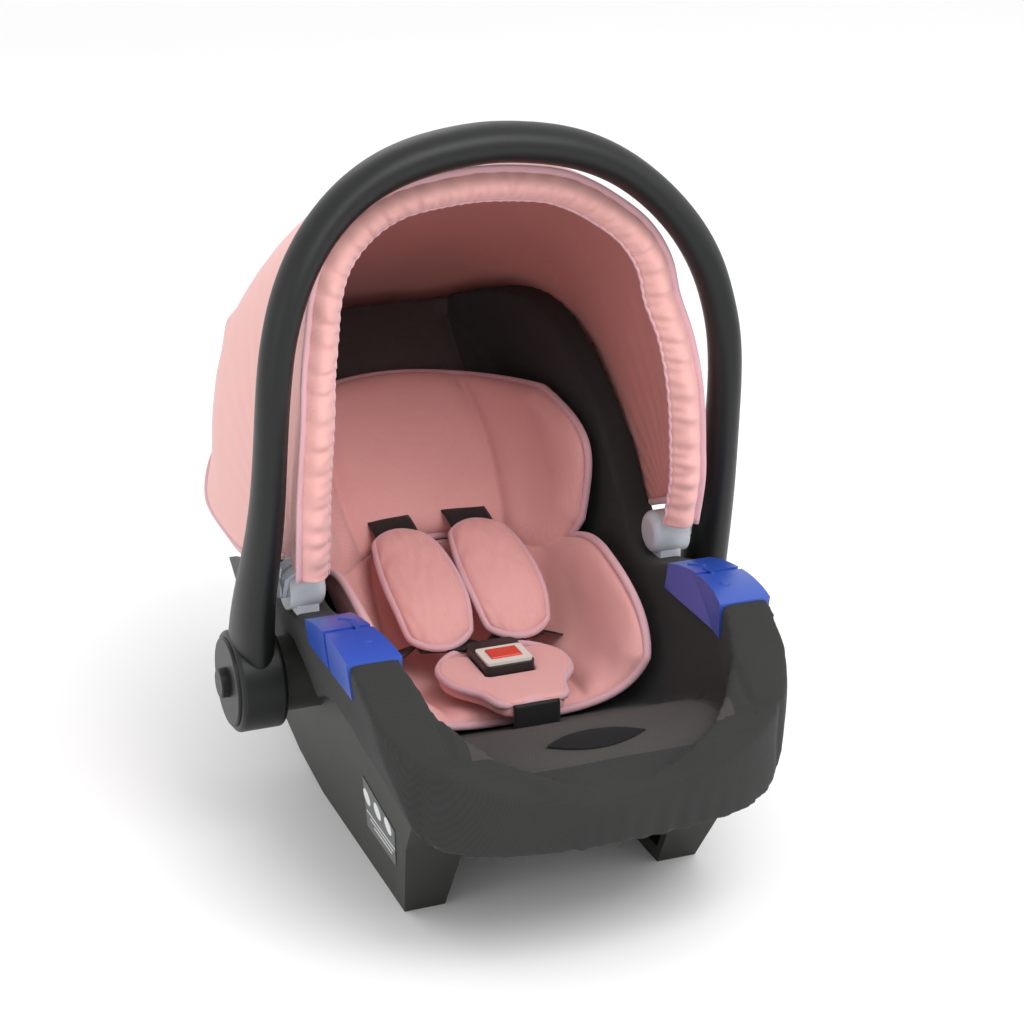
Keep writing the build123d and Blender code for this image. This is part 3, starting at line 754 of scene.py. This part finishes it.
canopy_sheet = grid(150, 70, canopy_place)
inner = [corner for corner in canopy_sheet.verts if not corner.is_boundary]
for smoothing in range(8):
    bmesh.ops.smooth_vert(canopy_sheet, verts=inner, factor=0.5, use_axis_x=True, use_axis_y=True,
                          use_axis_z=True)
for corner in canopy_sheet.verts:
    corner.co.x = min(max(corner.co.x, -WIDEST), WIDEST)
    away = corner.co - HINGE
    if away.y > BACK_STARTS:
        way = away.normalized()
        under = max(reach(way) for reach in seat_reaches) + CLEAR_OF_SEAT
        corner.co = HINGE + way * max(away.length, under)
sheet_area = sum(face.calc_area() for face in canopy_sheet.faces)
# The second finish goes on the inner face of the thickened sheet, as painted shade under the canopy.
canopy = finished("canopy_sheet", canopy_sheet, canopy_cloth, canopy_inside_shaded)
sample_face = canopy.data.polygons[len(canopy.data.polygons) // 4]
if sample_face.normal.dot(sample_face.center - HINGE) < 0:
    canopy.data.flip_normals()
for corner, normal in [(vertex, vertex.normal.copy()) for vertex in canopy.data.vertices]:
    away = (corner.co - HINGE).length
    pleat = 0.0016 * sin(42 * atan2(corner.co.z - HINGE.z, corner.co.y - HINGE.y)) * exp(-(away / 0.20) ** 2)
    corner.co += normal * (pleat + 0.0016 * noise.noise(corner.co * 9))
thickened(canopy, CLOTH_THICK, -1)
print("canopy sheet", round(sheet_area, 4), "m2")

# %% [markdown]
# The front edge carries a folded band, and inside it a strip of the same cloth that an elastic gathers and
# that hides the steel bow. A narrow hem runs round the back.

# %% Canopy edges
BRIM_DEPTH, BRIM_BULGE, PUFF, TUCK = 0.024, 0.0105, 0.0022, 0.0012
HOOP_STEPS, ELASTIC_STEPS = 160, 300


def brim_place(u, v):
    """The strip inside the front hoop: v runs from the hoop inwards, where it is gathered by an elastic."""
    edge = hoop(u)
    centre = Vector((0, edge.y + 0.01, min(edge.z, 0.40)))
    inward = (centre - edge).normalized()
    puff = PUFF * sin(pi * min(1, v * 1.05)) * sin(u * 250 + 3.5 * noise.noise(edge * 25))
    tuck = TUCK * v * v * sin(u * 520 + 3 * noise.noise(edge * 40))
    backwards_by = -BRIM_BULGE * sin(pi * v) + 0.002 * v + puff * 0.7 + tuck
    return edge + inward * (BRIM_DEPTH * v) + Vector((0, backwards_by, 0))


brim = finished("canopy_brim", grid(600, 10, brim_place), canopy_cloth)
thickened(brim, CLOTH_THICK, 0)
hoop_band = tube("canopy_hem_band", [hoop(step / HOOP_STEPS) for step in range(HOOP_STEPS + 1)], 0.0052,
                 binding_cloth, sides=12, flatten=0.5)
inner_edge = [brim_place(step / ELASTIC_STEPS, 1) for step in range(ELASTIC_STEPS + 1)]
inner_seam = tube("canopy_elastic", inner_edge, 0.0016, binding_cloth, sides=8)
back_band = tube("canopy_back_hem", [hem(step / HOOP_STEPS) for step in range(HOOP_STEPS + 1)], 0.0030,
                 binding_cloth)
for piece in (canopy, brim, hoop_band, inner_seam, back_band):
    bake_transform(piece)
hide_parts("canopy_fabric")

# %% [markdown]
# Three coil springs push the two handle releases and the buckle button back out.

# %% Springs
def coil(name, node, axis, turns, wire, anchor_high, body):
    """A coil spring that fills a CAD sleeve."""
    low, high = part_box(node)
    middle, size = (low + high) / 2, high - low
    radius = size[(axis + 1) % 3] / 2 - wire
    steps = turns * 16
    path = []
    for step in range(steps + 1):
        turn = 2 * pi * turns * step / steps
        spot = Vector((0, 0, 0))
        spot[axis] = (size[axis] - 2 * wire) * (step / steps - 0.5)
        spot[(axis + 1) % 3], spot[(axis + 2) % 3] = radius * cos(turn), radius * sin(turn)
        path.append(middle + spot)
    spring = tube(name, path, wire, steel.material, sides=8)
    fitted("steel", body, spring)
    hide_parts(node)
    anchor = middle.copy()
    anchor[axis] = (high if anchor_high else low)[axis]
    way = Vector((0, 0, 0))
    way[axis] = 1
    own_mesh(spring)


for side, suffix in ((-1, "left"), (1, "right")):
    coil("release_coil_" + suffix, "release_spring_" + suffix, 0, 4, 0.0009,
         side < 0, "handle")
coil("buckle_coil", "buckle_spring", 2, 4, 0.0006, False, "seat")

# %% [markdown]
# The label on each side of the base carries plain discs and bars. Each belt guide has a raised dot and two
# raised bars. Every mark is a thin disc or a drawn-out disc, and it is laid where a line meets the surface.

# %% Small raised details
LABEL_MARK, GUIDE_MARK = 0.0003, 0.0012  # how thick the marks are
LABEL_DISC, LABEL_BAR, GUIDE_DOT, GUIDE_BAR = 0.0075, 0.0007, 0.0042, 0.0016
FAR_OUT, FAR_UP = 0.3, 0.4


def stuck_on(name, node, start, way, radius, finish, slot, height, long=0.0, turn=0.0):
    """A thin disc, or a bar that is long from centre to centre, on a CAD node's surface along way."""
    target = nodes[node]
    to_node = target.matrix_world.inverted()
    found, normal = surface_of(target).ray_cast(to_node @ Vector(start),
                                                (to_node.to_3x3() @ Vector(way)).normalized())[:2]
    form = bmesh.new()
    bmesh.ops.create_cone(form, cap_ends=True, segments=24, radius1=radius, radius2=radius * 0.92,
                          depth=height)
    for corner in form.verts:
        if abs(corner.co.x) > 0.0001:
            corner.co.x += long / 2 if corner.co.x > 0 else -long / 2
    facing_out = (target.matrix_world.to_3x3() @ normal).normalized()
    across = Vector((0, 1, 0)) - facing_out.y * facing_out
    across = (Matrix.Rotation(turn, 3, facing_out) @ across).normalized()
    laid = Matrix((across, facing_out.cross(across), facing_out)).transposed().to_4x4()
    laid.translation = target.matrix_world @ found + facing_out * height * 0.4
    bmesh.ops.transform(form, matrix=laid, verts=form.verts[:])
    mark = finished(name, form, finish)
    mark.data.shade_flat()
    fitted(slot, "seat", mark)


for side, suffix in ((-1, "left"), (1, "right")):
    label_low, label_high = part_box("side_label_" + suffix)
    label_mid = (label_low + label_high) / 2
    for count in range(3):
        stuck_on(f"label_disc_{suffix}_{count}", "side_label_" + suffix,
                 (side * FAR_OUT, label_mid.y + (count - 1) * 0.025, label_mid.z + 0.008), (-side, 0, 0),
                 LABEL_DISC, label_ink, "side_label", LABEL_MARK)
        stuck_on(f"label_bar_{suffix}_{count}", "side_label_" + suffix,
                 (side * FAR_OUT, label_mid.y, label_mid.z - 0.008 - count * 0.005), (-side, 0, 0),
                 LABEL_BAR, label_ink, "side_label", LABEL_MARK, long=0.066 - count * 0.012)
    guide_low, guide_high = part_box("belt_guide_" + suffix)
    guide_mid = (guide_low + guide_high) / 2
    marks_x = guide_mid.x - side * 0.004
    stuck_on("guide_dot_" + suffix, "belt_guide_" + suffix, (marks_x, guide_mid.y - 0.026, FAR_UP),
             (0, 0, -1), GUIDE_DOT, guide_plastic, "guide_plastic", GUIDE_MARK)
    for count in range(2):
        stuck_on(f"guide_bar_{suffix}_{count}", "belt_guide_" + suffix,
                 (marks_x, guide_mid.y + 0.004 + count * 0.022, FAR_UP), (0, 0, -1), GUIDE_BAR, guide_plastic,
                 "guide_plastic", GUIDE_MARK, long=0.014, turn=count * 0.5)
